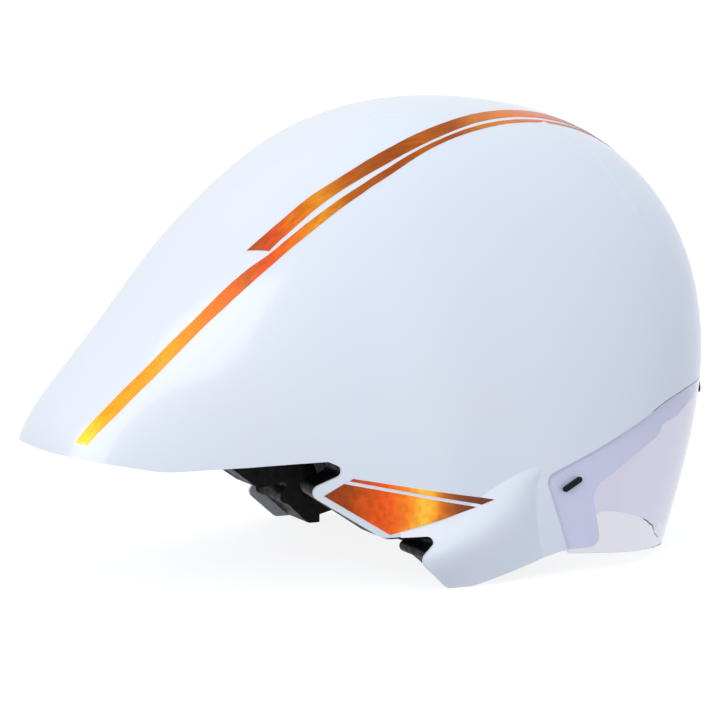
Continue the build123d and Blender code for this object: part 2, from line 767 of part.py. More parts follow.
# Cradle arms reach forward to eyes that turn on posts in the foam.
for sign, hand in ((1, "left"), (-1, "right")):
    ends = sorted((sign * plate_turn, sign * 90))
    eye = side_rod(0, arm_eye_height, arm_eye_radius, post_inner, plate_outer, sign)
    bore = side_rod(0, arm_eye_height, pin_radius + fit_gap, 0, plate_outer * 2, sign)
    with BuildPart() as cradle_arm:
        add(level_ring(post_inner, plate_outer, *ends, arm_half_height))
        add(eye)
        add(bore, mode=Mode.SUBTRACT)
    export(cradle_arm, "cradle_arm_" + hand)
    clip_half_turn = degrees(clip_width / 2 / plate_outer)
    ends = sorted((sign * (clip_turn - clip_half_turn), sign * (clip_turn + clip_half_turn)))
    slot_ends = (ends[0] - clip_half_turn, ends[1] + clip_half_turn)
    with BuildPart() as strap_clip:
        add(level_ring(plate_outer, housing_inner + plate_wall / 2, *ends, arm_half_height))
        add(
            level_ring(post_inner, housing_inner, *slot_ends, slot_half_height),
            mode=Mode.SUBTRACT,
        )
    export(strap_clip, "strap_clip_" + hand)
    with BuildPart() as arm_post:
        head_end = post_inner - running_gap
        add(
            side_rod(0, arm_eye_height, pin_head_radius, head_end - pin_head_wall, head_end, sign)
        )
        shaft_end = plate_outer + running_gap
        add(side_rod(0, arm_eye_height, pin_radius, head_end, shaft_end, sign))
        add(side_rod(0, arm_eye_height, post_radius, shaft_end, post_outer, sign))
    export(arm_post, "arm_post_" + hand)

# Side webbing, its anchors and its dividers.
for plane, along, out, label in anchors():
    export(anchor_solid(plane, along, out, 0), "anchor_" + label)
    foot_along = side_web_width * 5 / 8
    with BuildPart() as side_web:
        with BuildSketch(plane.offset(-web_wall / 2)):
            slant = atan2(along - foot_along, anchor_height - divider_top)
            half = side_web_width / 2 / cos(slant)
            with BuildLine():
                Polyline(
                    (foot_along - half, divider_top),
                    (foot_along + half, divider_top),
                    (along + half, anchor_height),
                    (along, anchor_height + anchor_radius),
                    (along - half, anchor_height),
                    close=True,
                )
            make_face()
        extrude(amount=web_wall)
    export(side_web, "side_web_" + label)
for sign, hand in ((1, "left"), (-1, "right")):
    with BuildPart() as divider:
        inner_face = Plane(
            (web_centre, sign * web_half_span, divider_height), x_dir=(1, 0, 0), z_dir=(0, sign, 0)
        )
        with BuildSketch(inner_face):
            RectangleRounded(divider_width, divider_length / 2, divider_wall / 2)
        extrude(amount=divider_wall)
    export(divider, "divider_" + hand)

# Chin webbing: up one side, over under the crown and down to the buckle on the left.
web_inner = web_half_span - web_wall


def web_leg(sign, low, high, near=web_inner, far=web_half_span, width=web_width):
    """A flat upright run of webbing on one side."""
    y_ends = sorted((sign * near, sign * far))
    return box_between((web_centre - width / 2, web_centre + width / 2), y_ends, (low, high))


buckle_low = buckle_height - buckle_male_length
female_low = buckle_height + running_gap
female_high = female_low + buckle_female_length
with BuildPart() as chin_web_long:
    with BuildSketch(Plane.YZ.offset(web_centre - web_width / 2)):
        with BuildLine():
            over = CenterArc((0, web_shoulder), web_half_span, 0, 180)
            under = CenterArc((0, web_shoulder), web_inner, 0, 180)
            Line(over @ 0, under @ 0)
            Line(over @ 1, under @ 1)
        make_face()
    extrude(amount=web_width)
    add(web_leg(-1, divider_height - divider_length / 4, web_shoulder))
    add(web_leg(1, female_high, web_shoulder))
export(chin_web_long, "chin_web_long")
with BuildPart() as chin_web_short:
    add(web_leg(1, divider_height - divider_length / 4, buckle_height - web_wall))
export(chin_web_short, "chin_web_short")
with BuildPart() as chin_pad:
    with BuildSketch(Plane.YZ.offset(web_centre - chin_pad_width / 2)):
        with BuildLine():
            start = 90 - chin_pad_turn
            over = CenterArc((0, web_shoulder), web_inner, start, 2 * chin_pad_turn)
            under = CenterArc((0, web_shoulder), web_inner - chin_pad_wall, start, 2 * chin_pad_turn)
            Line(over @ 0, under @ 0)
            Line(over @ 1, under @ 1)
        make_face()
    extrude(amount=chin_pad_width)
export(chin_pad, "chin_pad")
with BuildPart() as web_loop:
    near, far = web_inner - fit_gap, web_half_span + fit_gap
    width = web_width + 2 * fit_gap
    low, high = loop_place - loop_height / 2, loop_place + loop_height / 2
    add(web_leg(1, low, high, near - loop_wall, far + loop_wall, width + 2 * loop_wall))
    add(web_leg(1, low, high, near, far, width), mode=Mode.SUBTRACT)
export(web_loop, "web_loop")

# Buckle: the tongue slides down out of the socket along the short webbing.
buckle_middle = web_half_span - web_wall / 2 - buckle_inset
tongue_middle = buckle_middle - buckle_tongue_shift
tongue_near = tongue_middle - buckle_tongue_wall / 2
tongue_far = tongue_middle + buckle_tongue_wall / 2
buckle_near = buckle_middle - buckle_wall / 2
buckle_far = buckle_middle + buckle_wall / 2
with BuildPart() as buckle_socket:
    add(web_leg(1, female_low, female_high, buckle_near, buckle_far, buckle_width))
    fillet(buckle_socket.edges().filter_by(Axis.Y), buckle_wall / 4)
    socket_room = running_gap
    add(
        web_leg(
            1,
            female_low - buckle_wall,
            buckle_height + buckle_tongue_length + running_gap,
            tongue_near - socket_room,
            tongue_far + socket_room,
            buckle_tongue_width + 2 * socket_room,
        ),
        mode=Mode.SUBTRACT,
    )
export(buckle_socket, "buckle_socket")
with BuildPart() as buckle_tongue:
    add(web_leg(1, buckle_low, buckle_height, buckle_near, buckle_far, buckle_width))
    fillet(buckle_tongue.edges().filter_by(Axis.Y), buckle_wall / 4)
    add(
        web_leg(
            1,
            buckle_low - buckle_wall,
            buckle_height + buckle_wall,
            web_inner - running_gap,
            web_half_span + running_gap,
            web_width + 2 * running_gap,
        ),
        mode=Mode.SUBTRACT,
    )
    add(
        web_leg(
            1,
            buckle_height - buckle_wall,
            buckle_height + buckle_tongue_length,
            tongue_near,
            tongue_far,
            buckle_tongue_width,
        )
    )
export(buckle_tongue, "buckle_tongue")
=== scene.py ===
# A teardrop time trial helmet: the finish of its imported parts, its foil decals, pads and webbing.
import math

import bpy
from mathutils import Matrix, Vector


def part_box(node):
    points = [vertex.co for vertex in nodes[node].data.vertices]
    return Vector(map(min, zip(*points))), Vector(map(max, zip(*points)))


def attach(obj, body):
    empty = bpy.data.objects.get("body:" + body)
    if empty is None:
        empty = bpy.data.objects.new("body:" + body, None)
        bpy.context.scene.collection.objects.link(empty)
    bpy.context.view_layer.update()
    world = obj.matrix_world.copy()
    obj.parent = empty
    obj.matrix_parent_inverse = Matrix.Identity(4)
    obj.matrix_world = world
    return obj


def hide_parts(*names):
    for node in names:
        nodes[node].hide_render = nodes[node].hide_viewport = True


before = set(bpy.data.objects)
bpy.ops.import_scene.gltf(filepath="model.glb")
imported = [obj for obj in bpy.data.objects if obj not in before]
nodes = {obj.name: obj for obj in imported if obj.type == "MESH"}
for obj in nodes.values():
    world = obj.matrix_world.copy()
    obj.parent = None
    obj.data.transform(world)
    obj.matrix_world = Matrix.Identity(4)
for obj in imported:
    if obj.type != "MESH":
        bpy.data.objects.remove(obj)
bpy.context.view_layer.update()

# Camera. It stands behind the wearer's right shoulder, a little above the helmet, far enough away
# for the long lens of a product photograph.
view_turn = math.radians(25)
view_drop = math.radians(7.6)
view_distance = 1.5
view_target = Vector((-0.004, 0, 0.095))
focal_length = 152.25
film_width = 36
toward = Vector((
    math.sin(view_turn) * math.cos(view_drop),
    math.cos(view_turn) * math.cos(view_drop),
    -math.sin(view_drop),
))
bpy.ops.object.select_all(action="DESELECT")
bpy.ops.object.camera_add(
    location=view_target - toward * view_distance,
    rotation=toward.to_track_quat("-Z", "Y").to_euler(),
)
camera = bpy.context.object
camera.data.lens = focal_length
camera.data.sensor_width = film_width
bpy.context.scene.camera = camera
bpy.context.scene.view_settings.view_transform = "Standard"

# Studio. A pale floor that keeps the helmet's shadow, a white surround that the camera and gloss
# see and glass shows a shade darker, a sky that lights the helmet, bluer at its foot than
# overhead, and two soft lamps.
pure_white = (1, 1, 1, 1)
floor_size = 60.0
floor_gap = 0.0002
floor_glow = 0.86
through_glass = 0.82
sky_strength = 0.98
sky_tones = (
    (0.0, (0.76, 0.81, 1.0)),
    (0.8, (0.72, 0.77, 0.82)),
)
lamp_size = 1.6


def new_material(name, colour=(0.5, 0.5, 0.5), roughness=0.5, more=None):
    """A fresh node material: the material, its node tree and its main shader."""
    material = bpy.data.materials.new(name)
    material.use_nodes = True
    shader = material.node_tree.nodes["Principled BSDF"]
    shader.inputs["Base Color"].default_value = (*colour, 1)
    shader.inputs["Roughness"].default_value = roughness
    for key, value in (more or {}).items():
        shader.inputs[key].default_value = value
    return material, material.node_tree, shader


def add_node(tree, kind, links=None, **settings):
    """A node with its settings, its plain inputs set by name, and its links made by name."""
    node = tree.nodes.new(kind)
    for key, value in settings.items():
        if key in node.inputs:
            node.inputs[key].default_value = value
        else:
            setattr(node, key, value)
    for key, source in (links or {}).items():
        tree.links.new(source, node.inputs[key])
    return node


def pair_node(tree, kind, first, second, **settings):
    """A node that joins two values, in its first two inputs."""
    node = add_node(tree, kind, **settings)
    tree.links.new(first, node.inputs[0])
    tree.links.new(second, node.inputs[1])
    return node


def either_shader(tree, gate, off, on):
    """The first shader where the gate is 0 and the second where it is 1."""
    mix = pair_node(tree, "ShaderNodeMixShader", gate, off.outputs[0])
    tree.links.new(on.outputs[0], mix.inputs[2])
    return mix


def by_ray(tree, lighting, seen, through):
    """One shader as light, another for the camera and gloss, a third through glass."""
    rays = tree.nodes.new("ShaderNodeLightPath")
    direct = pair_node(
        tree, "ShaderNodeMath", rays.outputs["Is Camera Ray"], rays.outputs["Is Glossy Ray"],
        operation="MAXIMUM",
    )
    lit_or_seen = either_shader(tree, direct.outputs[0], lighting, seen)
    return either_shader(tree, rays.outputs["Is Transmission Ray"], lit_or_seen, through)


def set_tones(ramp, tones):
    """Sets a colour ramp, from first to last: place on the ramp, then colour."""
    stops = ramp.color_ramp.elements
    for step, (position, colour) in enumerate(tones):
        if step == 0:
            stop = stops[0]
        elif step == len(tones) - 1:
            stop = stops[len(stops) - 1]
        else:
            stop = stops.new(position)
        stop.position = position
        stop.color = (*colour, 1)


bpy.ops.mesh.primitive_plane_add(size=floor_size, location=(0, 0, -floor_gap))
floor = bpy.context.object
floor.name = "studio_floor"
floor_white, tree, shader = new_material("floor_white", (0.20, 0.215, 0.26), 0.9)
glow = add_node(tree, "ShaderNodeEmission", Color=pure_white, Strength=floor_glow)
both = pair_node(tree, "ShaderNodeAddShader", shader.outputs[0], glow.outputs[0])
dim = add_node(tree, "ShaderNodeEmission", Color=pure_white, Strength=through_glass)
surface = by_ray(tree, shader, both, dim)
tree.links.new(surface.outputs[0], tree.nodes["Material Output"].inputs["Surface"])
floor.data.materials.append(floor_white)

world = bpy.data.worlds.new("studio")
bpy.context.scene.world = world
world.use_nodes = True
tree = world.node_tree
tree.nodes.clear()
white = add_node(tree, "ShaderNodeBackground", Color=pure_white, Strength=1.0)
dim = add_node(tree, "ShaderNodeBackground", Color=pure_white, Strength=through_glass)
direction = tree.nodes.new("ShaderNodeTexCoord")
height = add_node(tree, "ShaderNodeSeparateXYZ", {"Vector": direction.outputs["Generated"]})
sky_ramp = add_node(tree, "ShaderNodeValToRGB", {"Fac": height.outputs["Z"]})
set_tones(sky_ramp, sky_tones)
sky = add_node(
    tree, "ShaderNodeBackground", {"Color": sky_ramp.outputs["Color"]}, Strength=sky_strength
)
end = tree.nodes.new("ShaderNodeOutputWorld")
tree.links.new(by_ray(tree, sky, white, dim).outputs[0], end.inputs["Surface"])


def soft_lamp(name, place, power, colour):
    """A square area lamp that looks at the helmet."""
    aim = (view_target - Vector(place)).to_track_quat("-Z", "Y").to_euler()
    bpy.ops.object.light_add(type="AREA", location=place, rotation=aim)
    lamp = bpy.context.object
    lamp.name = name
    lamp.data.size = lamp_size
    lamp.data.energy = power
    lamp.data.color = colour


soft_lamp("key_lamp", (-2.0, -1.5, 1.1), 26, (1.0, 0.98, 0.9))
soft_lamp("side_lamp", (0.5, -2.0, 0.6), 2.5, (0.96, 0.97, 1.0))

# Outer shell. A thin moulded skin, sprayed a cool white and clear coated, with the faint orange
# peel of a sprayed coat and a breath of pearl in the white.
pearl_tones = (
    (0.30, (0.815, 0.862, 0.930)),
    (0.72, (0.840, 0.876, 0.930)),
)


def noise_on(tree, scale, detail):
    """A noise pattern that stays on the piece. The scale is in patches to the metre."""
    place = tree.nodes.new("ShaderNodeTexCoord")
    noise = add_node(
        tree, "ShaderNodeTexNoise", {"Vector": place.outputs["Object"]}, Scale=scale, Detail=detail
    )
    return noise.outputs["Fac"]


def tint_by(tree, shader, pattern, tones):
    """Colours a surface by a pattern."""
    ramp = add_node(tree, "ShaderNodeValToRGB", {"Fac": pattern})
    set_tones(ramp, tones)
    tree.links.new(ramp.outputs["Color"], shader.inputs["Base Color"])


def raise_by(tree, shader, pattern, strength, rise):
    """Raises a surface by a pattern."""
    bump = add_node(
        tree, "ShaderNodeBump", {"Height": pattern}, Strength=strength, Distance=rise
    )
    tree.links.new(bump.outputs["Normal"], shader.inputs["Normal"])
    return bump


def dress(starts, material):
    """Gives one finish to the CAD nodes whose names start so."""
    for name in nodes:
        if name.startswith(starts):
            nodes[name].data.materials.clear()
            nodes[name].data.materials.append(material)


shell_white, tree, shader = new_material(
    "shell_white", (0.83, 0.87, 0.93), 0.34, {"Coat Weight": 0.55, "Coat Roughness": 0.10}
)
tint_by(tree, shader, noise_on(tree, 9.0, 3.0), pearl_tones)
peel = raise_by(tree, shader, noise_on(tree, 420.0, 1.5), 0.06, 0.0002)
tree.links.new(peel.outputs["Normal"], shader.inputs["Coat Normal"])
dress("outer_shell", shell_white)

# Foil decals. Self adhesive foil in a copper to gold colour shift, with painted highlights in its
# tones, cut in two long stripes on each side of the crown and in a panel with a thin bar over it
# on each upper gill. Each is laid on the shell by projection, the stripes from above and the
# panels from the side.
foil_thick = 0.00025
smooth_angle = math.radians(40)
# Tones along the helmet: place in millimetres, then colour. Besides the foil's own colour shift,
# the brightest orange and gold bands are painted highlights.
stripe_tones_and_highlights = (
    (-165, (0.90, 0.42, 0.035)),
    (-152, (0.85, 0.26, 0.012)),
    (-138, (0.82, 0.22, 0.012)),
    (-121, (0.70, 0.19, 0.012)),
    (-106, (0.60, 0.115, 0.012)),
    (-95, (0.50, 0.098, 0.014)),
    (-85, (0.40, 0.085, 0.018)),
    (-73, (0.62, 0.080, 0.018)),
    (-62, (0.74, 0.155, 0.014)),
    (-48, (0.80, 0.30, 0.018)),
    (-36, (0.54, 0.13, 0.012)),
    (-24, (0.46, 0.11, 0.014)),
    (-10, (0.40, 0.080, 0.010)),
    (8, (0.52, 0.13, 0.008)),
    (25, (0.42, 0.085, 0.010)),
    (42, (0.68, 0.21, 0.030)),
    (58, (0.82, 0.245, 0.035)),
    (75, (0.88, 0.24, 0.100)),
    (98, (0.55, 0.22, 0.170)),
    (135, (0.34, 0.16, 0.180)),
)
# Panel tones: the foil's colour shift, with a painted glare as the bright gold band in the middle.
panel_tones_and_glare = (
    (-58, (0.26, 0.044, 0.006)),
    (-48, (0.30, 0.050, 0.006)),
    (-42, (0.54, 0.075, 0.006)),
    (-35, (0.74, 0.090, 0.008)),
    (-29, (0.86, 0.135, 0.012)),
    (-24, (0.94, 0.25, 0.018)),
    (-19, (0.92, 0.45, 0.040)),
    (-15, (0.93, 0.50, 0.048)),
    (-12, (0.92, 0.34, 0.024)),
    (-8, (0.72, 0.19, 0.012)),
    (-4, (0.48, 0.12, 0.015)),
    (1, (0.26, 0.068, 0.018)),
    (8, (0.19, 0.052, 0.020)),
)
# Edge lines in millimetres: along and across the helmet for the stripes, along and up for the
# panels.
stripe_inner = [
    (-82.7, -43.8), (-68.3, -45.7), (-52.9, -46.6), (-37.7, -47.7), (-21.7, -47.3), (-4.7, -45.3),
    (19.7, -39.8), (45.3, -31.8), (60.1, -27.2), (74.9, -22.6), (92.0, -17.5), (108.0, -13.6),
    (124.0, -9.6), (138.0, -5.4),
]
stripe_outer = [
    (-74.0, -49.9), (-62.0, -50.9), (-47.4, -51.5), (-31.9, -52.1), (-16.0, -51.8), (1.4, -49.4),
    (21.0, -44.8), (44.0, -37.8), (61.2, -33.0), (78.0, -28.6), (95.0, -24.0), (110.0, -19.2),
    (126.0, -12.6), (138.4, -5.9),
]
line_inner = [
    (-164.2, -32.1), (-152.5, -33.7), (-138.1, -35.4), (-121.7, -38.4), (-106.0, -42.7),
    (-84.9, -47.9), (-72.7, -50.9), (-55.7, -52.9), (-40.5, -53.9), (-24.8, -54.0), (-8.1, -52.3),
    (16.3, -47.2), (41.1, -40.4), (60.6, -35.2), (78.6, -30.8), (96.0, -26.4), (112.0, -21.4),
    (128.0, -14.4), (139.6, -7.8),
]
line_outer = [
    (-159.8, -36.0), (-149.1, -37.7), (-134.7, -39.4), (-120.6, -41.9), (-106.9, -45.4),
    (-93.3, -49.3), (-76.2, -53.0), (-57.1, -55.5), (-41.7, -56.4), (-25.9, -56.4), (-9.1, -54.8),
    (15.2, -49.2), (39.9, -42.8), (54.5, -38.8), (73.8, -33.9), (93.0, -28.9), (111.0, -23.6),
    (128.6, -16.0), (140.0, -8.2),
]
panel_foot = [(-58.4, 43.6), (-44.1, 34.3), (-29.8, 25.0)]
panel_top = [(-50.2, 49.4), (-20.0, 43.2), (10.1, 36.6)]
bar_foot = [(-47.8, 50.7), (-17.4, 44.2), (13.2, 37.6)]
bar_top = [(-46.2, 51.8), (-13.0, 45.7), (19.5, 39.5)]


def in_range(tree, pattern, low, high, start=0.0, end=1.0):
    """A pattern that ran from start to end, and now runs from low to high."""
    ranged = add_node(tree, "ShaderNodeMapRange", {"Value": pattern}, **{
        "From Min": start, "From Max": end, "To Min": low, "To Max": high,
    })
    return ranged.outputs["Result"]


def colour_foil(name, tones, wander):
    """Foil whose tones run along the helmet, their borders wandering by a few millimetres."""
    foil, tree, shader = new_material(
        name, more={"Metallic": 0.9, "Coat Weight": 0.1, "Coat Roughness": 0.15}
    )
    place = tree.nodes.new("ShaderNodeTexCoord")
    axes = add_node(tree, "ShaderNodeSeparateXYZ", {"Vector": place.outputs["Object"]})
    drift = in_range(tree, noise_on(tree, 60.0, 3.0), -wander, wander)
    along = pair_node(tree, "ShaderNodeMath", axes.outputs["X"], drift, operation="ADD")
    first = tones[0][0]
    last = tones[-1][0]
    share = in_range(tree, along.outputs[0], 0, 1, first / 1000, last / 1000)
    # The ramp lays the foil's colour shift and its painted highlights along the helmet.
    ramp = add_node(tree, "ShaderNodeValToRGB", {"Fac": share})
    set_tones(ramp, [((spot - first) / (last - first), colour) for spot, colour in tones])
    streaks = add_node(
        tree, "ShaderNodeMapping", {"Vector": place.outputs["Object"]},
        Rotation=(0, 0, math.radians(35)), Scale=(90, 1100, 300),
    )
    brushed = add_node(
        tree, "ShaderNodeTexNoise", {"Vector": streaks.outputs["Vector"]}, Scale=1.0, Detail=2.0
    )
    tone = add_node(tree, "ShaderNodeHueSaturation", {
        "Color": ramp.outputs["Color"],
        "Value": in_range(tree, brushed.outputs["Fac"], 0.78, 1.12, 0.25, 0.75),
    })
    tree.links.new(tone.outputs["Color"], shader.inputs["Base Color"])
    satin = in_range(tree, brushed.outputs["Fac"], 0.26, 0.46)
    tree.links.new(satin, shader.inputs["Roughness"])
    return foil


def smooth_line(points, steps):
    """Even steps along a smooth line through its points."""
    points = [Vector((*point, 0)) for point in points]
    points = [2 * points[0] - points[1], *points, 2 * points[-1] - points[-2]]
    line = []
    spans = len(points) - 3
    for step in range(steps + 1):
        at = min(step / steps * spans, spans - 1e-6)
        index = int(at)
        s = at - index
        a, b, c, d = points[index:index + 4]
        bend = 2 * a - 5 * b + 4 * c - d
        twist = 3 * (b - c) + d - a
        line.append((2 * b + s * (c - a + s * (bend + s * twist))) / 2)
    return line


def laid_on_shell(name, low_edge, high_edge, steps, rows, from_side=False):
    """A sheet between two edge lines, dropped straight onto the shell from above or the side."""
    over_shell = 0.3
    beside_shell = -0.2
    bpy.ops.object.select_all(action="DESELECT")
    bpy.ops.mesh.primitive_grid_add(x_subdivisions=steps, y_subdivisions=rows, size=1)
    sheet = bpy.context.object
    sheet.name = name
    low_line = smooth_line(low_edge, steps)
    high_line = smooth_line(high_edge, steps)
    for corner in sheet.data.vertices:
        column = round((corner.co.x + 1 / 2) * steps)
        row = corner.co.y + 1 / 2
        spot = low_line[column].lerp(high_line[column], row) / 1000
        if from_side:
            corner.co = (spot.x, beside_shell, spot.y)
        else:
            corner.co = (spot.x, spot.y, over_shell)
    drop = sheet.modifiers.new("drop", "SHRINKWRAP")
    drop.wrap_method = "PROJECT"
    drop.target = nodes["outer_shell"]
    drop.use_project_y = from_side
    drop.use_project_z = not from_side
    drop.use_positive_direction = from_side
    drop.use_negative_direction = not from_side
    bpy.ops.object.modifier_apply(modifier="drop")
    return sheet


def thicken(sheet, thickness, side):
    """Gives a sheet its wall: outwards for side 1, inwards for -1, both ways for 0."""
    wall = sheet.modifiers.new("wall", "SOLIDIFY")
    wall.thickness = thickness
    wall.offset = side
    bpy.ops.object.modifier_apply(modifier="wall")


def finish_pair(right, name, material):
    """Smooths a right hand piece, mirrors it to the left and fixes both on the helmet."""
    bpy.ops.object.shade_smooth_by_angle(angle=smooth_angle)
    right.data.materials.append(material)
    bpy.ops.object.duplicate()
    left = bpy.context.object
    left.name = name + "_left"
    for corner in left.data.vertices:
        corner.co.y = -corner.co.y
    left.data.flip_normals()
    for piece in (right, left):
        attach(piece, "helmet")


def foil_decal(name, low_edge, high_edge, steps, rows, foil, from_side=False):
    """A foil decal on the wearer's right and its mirror image on the left."""
    right = laid_on_shell(name + "_right", low_edge, high_edge, steps, rows, from_side)
    thicken(right, foil_thick, 1)
    finish_pair(right, name, foil)


stripe_foil = colour_foil("foil_stripes", stripe_tones_and_highlights, 0.009)
foil_decal("foil_stripe", stripe_outer, stripe_inner, 120, 6, stripe_foil)
foil_decal("foil_line", line_outer, line_inner, 160, 3, stripe_foil)
panel_foil = colour_foil("foil_panels", panel_tones_and_glare, 0.007)
foil_decal("foil_panel", panel_foot, panel_top, 60, 16, panel_foil, from_side=True)
foil_decal("foil_bar", bar_foot, bar_top, 60, 4, panel_foil, from_side=True)

# Crown beads. A low soft ridge in the shell along each side of the crown, sprayed with it and
# broken where the stripes cross it. Its middle line is seen from above, in millimetres.
bead_width = 6.0
bead_rise = 0.00042
bead_wall = 0.00025
bead_rows = 10
bead_fade = 4
rear_bead = [
    (-78, -10.5), (-66, -14.0), (-52, -18.2), (-36, -21.2), (-20, -23.2), (-6, -26.3), (9, -29.0),
    (24, -33.5),
]
front_bead = [
    (76, -32.5), (84, -33.8), (92, -36.0), (99, -40.4), (105, -44.8), (111, -50.4), (118, -54.6),
    (124, -57.6),
]


def crown_bead(name, middle_line, steps):
    """A soft bead on the shell along a line, fading out at both ends."""
    outer = [(x, y - bead_width / 2) for x, y in middle_line]
    inner = [(x, y + bead_width / 2) for x, y in middle_line]
    right = laid_on_shell(name + "_right", outer, inner, steps, bead_rows)
    lifts = []
    for index, corner in enumerate(right.data.vertices):
        across = (index // (steps + 1)) / bead_rows
        along = (index % (steps + 1)) / steps
        fade = min(1, bead_fade * math.sin(math.pi * along))
        swell = math.sin(math.pi * across) ** 2 * fade ** 2
        lifts.append((corner, corner.normal.copy() * (bead_wall / 4 + bead_rise * swell)))
    for corner, lift in lifts:
        corner.co += lift
    thicken(right, bead_wall, -1)
    finish_pair(right, name, shell_white)


crown_bead("crown_bead_rear", rear_bead, 90)
crown_bead("crown_bead_front", front_bead, 60)

# Foam liner. Expanded bead foam: packed beads all over, glossier on the beads and dull in the
# seams between them.
foam, tree, shader = new_material(
    "foam_black", (0.002, 0.002, 0.0025), 0.3, {"Specular IOR Level": 0.12}
)
place = tree.nodes.new("ShaderNodeTexCoord")
beads = add_node(
    tree, "ShaderNodeTexVoronoi", {"Vector": place.outputs["Object"]}, Scale=260.0,
    feature="SMOOTH_F1",
)
seams = raise_by(tree, shader, beads.outputs["Distance"], 0.35, 0.0006)
seams.invert = True
dull = in_range(tree, beads.outputs["Distance"], 0.28, 0.62, 0, 0.7)
tree.links.new(dull, shader.inputs["Roughness"])
dress("foam_liner", foam)

# Visor lens. Clear polycarbonate, thermoformed, with a faint lavender tint. Lamps reach through
# it, dimmed, to the sunk band of the shell.
lens, tree, shader = new_material("lens_lavender", (0.87, 0.865, 0.955), 0.02, {
    "Transmission Weight": 1.0, "IOR": 1.18, "Specular IOR Level": 0.6,
})
lamp_light = add_node(tree, "ShaderNodeBsdfTransparent", Color=(0.42, 0.48, 0.62, 1))
rays = tree.nodes.new("ShaderNodeLightPath")
glass = either_shader(tree, rays.outputs["Is Shadow Ray"], shader, lamp_light)
tree.links.new(glass.outputs[0], tree.nodes["Material Output"].inputs["Surface"])
dress("visor_lens", lens)

# Visor buttons and the dial's grip. Soft black rubber, dusty in its pores. The buttons are
# moulded over small magnets that hold the lens to the keepers.
rubber, tree, shader = new_material(
    "rubber_black", (0.004, 0.004, 0.005), 0.42, {"Specular IOR Level": 0.15}
)
dust = noise_on(tree, 700.0, 3.0)
raise_by(tree, shader, dust, 0.15, 0.0001)
tree.links.new(in_range(tree, dust, 0.34, 0.56), shader.inputs["Roughness"])
dress(("button_", "dial_grip"), rubber)

# Keepers and tail screws. The keepers are pressed into the sunk band and sprayed over with the
# shell. The screws are zinc plated steel, brushed round.
dress("keeper_", shell_white)
steel, tree, shader = new_material("steel_zinc", (0.62, 0.63, 0.65), 0.35, {"Metallic": 1.0})
brushed = in_range(tree, noise_on(tree, 600.0, 4.0), 0.22, 0.48)
tree.links.new(brushed, shader.inputs["Roughness"])
dress("floor_screw_", steel)

# Cradle, toothed straps, dial, tail floor, dividers, anchors and buckle. Moulded nylon: matte
# with a spark eroded grain, satin and a shade paler on the dial.
nylon_pieces = (
    "cradle_arm", "strap_clip", "arm_post", "anchor_", "divider_", "buckle_", "tail_floor",
    "nape_plate", "dial_housing", "web_loop", "rack_strap", "strap_tab", "dial_pinion",
)


def moulded(name, colour, grain_size, roughness):
    """A moulded plastic with a spark eroded grain."""
    plastic, tree, shader = new_material(name, colour, roughness)
    grain = noise_on(tree, 1 / grain_size, 2.0)
    raise_by(tree, shader, grain, 0.25, 0.0001)
    sheen = in_range(tree, grain, roughness - 0.1, roughness + 0.12)
    tree.links.new(sheen, shader.inputs["Roughness"])
    return plastic


nylon = moulded("nylon_black", (0.018, 0.018, 0.020), 0.0008, 0.52)
dress(nylon_pieces, nylon)
satin_plastic = moulded("dial_satin", (0.075, 0.076, 0.082), 0.0012, 0.34)
dress(("dial_knob", "dial_cap"), satin_plastic)

# Fit pads. Thin foam between two faces of brushed knit, welded round the edge: each one swells
# between its seams. The welded channels are pressed in afterwards.
pad_cell = 0.0022
pad_start = 0.0006
pad_pressure = 4
pad_swell = 0.0018
pad_frames = 14
channel_half_width = 0.0016
channel_depth = 0.0011
knit_tones = (
    (0.32, (0.020, 0.020, 0.023)),
    (0.70, (0.062, 0.062, 0.068)),
)
# Each pad with its body, the axis that its channels are spread along and their number.
pads = (
    ("brow_pad", "helmet", 1, 4),
    ("crown_pad_middle", "helmet", 0, 3),
    ("crown_pad_left", "helmet", 0, 3),
    ("crown_pad_right", "helmet", 0, 3),
    ("rear_pad", "helmet", 1, 1),
    ("temple_pad_left", "helmet", 0, 1),
    ("temple_pad_right", "helmet", 0, 1),
    ("chin_pad", "helmet", 1, 2),
    ("nape_pad_left", "cradle", 2, 2),
    ("nape_pad_right", "cradle", 2, 2),
)

pad_knit, tree, shader = new_material(
    "pad_knit", (0.030, 0.030, 0.034), 0.9, {"Sheen Weight": 0.5, "Sheen Roughness": 0.4}
)
tint_by(tree, shader, noise_on(tree, 240.0, 4.0), knit_tones)
place = tree.nodes.new("ShaderNodeTexCoord")
loops = add_node(
    tree, "ShaderNodeTexVoronoi", {"Vector": place.outputs["Object"]}, Scale=1300.0
)
raise_by(tree, shader, loops.outputs["Distance"], 0.5, 0.0003)


def swell_as_cloth(pad):
    """Blows the pad up as sewn cloth, with each point held near its start."""
    before = [corner.co.copy() for corner in pad.data.vertices]
    cloth = pad.modifiers.new("cloth", "CLOTH")
    cloth.settings.use_pressure = True
    cloth.settings.uniform_pressure_force = pad_pressure
    cloth.settings.effector_weights.gravity = 0
    cloth.point_cache.frame_start = 1
    cloth.point_cache.frame_end = pad_frames
    for step in range(1, pad_frames + 1):
        bpy.context.scene.frame_set(step)
    bpy.ops.object.modifier_apply(modifier="cloth")
    bpy.context.scene.frame_set(1)
    for corner, start in zip(pad.data.vertices, before):
        moved = corner.co - start
        if moved.length > pad_swell:
            corner.co = start + moved.normalized() * pad_swell


def with_normals(pad):
    """The pad's points, each with its normal as it is now."""
    return [(corner, corner.normal.copy()) for corner in pad.data.vertices]


def press_channels(pad, name, axis, count):
    """Presses evenly spread welded channels into a pad, each a soft groove."""
    low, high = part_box(name)
    places = [
        low[axis] + (high[axis] - low[axis]) * (step + 1) / (count + 1) for step in range(count)
    ]
    for corner, normal in with_normals(pad):
        for place in places:
            off = abs(corner.co[axis] - place)
            if off < channel_half_width:
                share = (1 + math.cos(math.pi * off / channel_half_width)) / 2
                corner.co -= normal * channel_depth * share


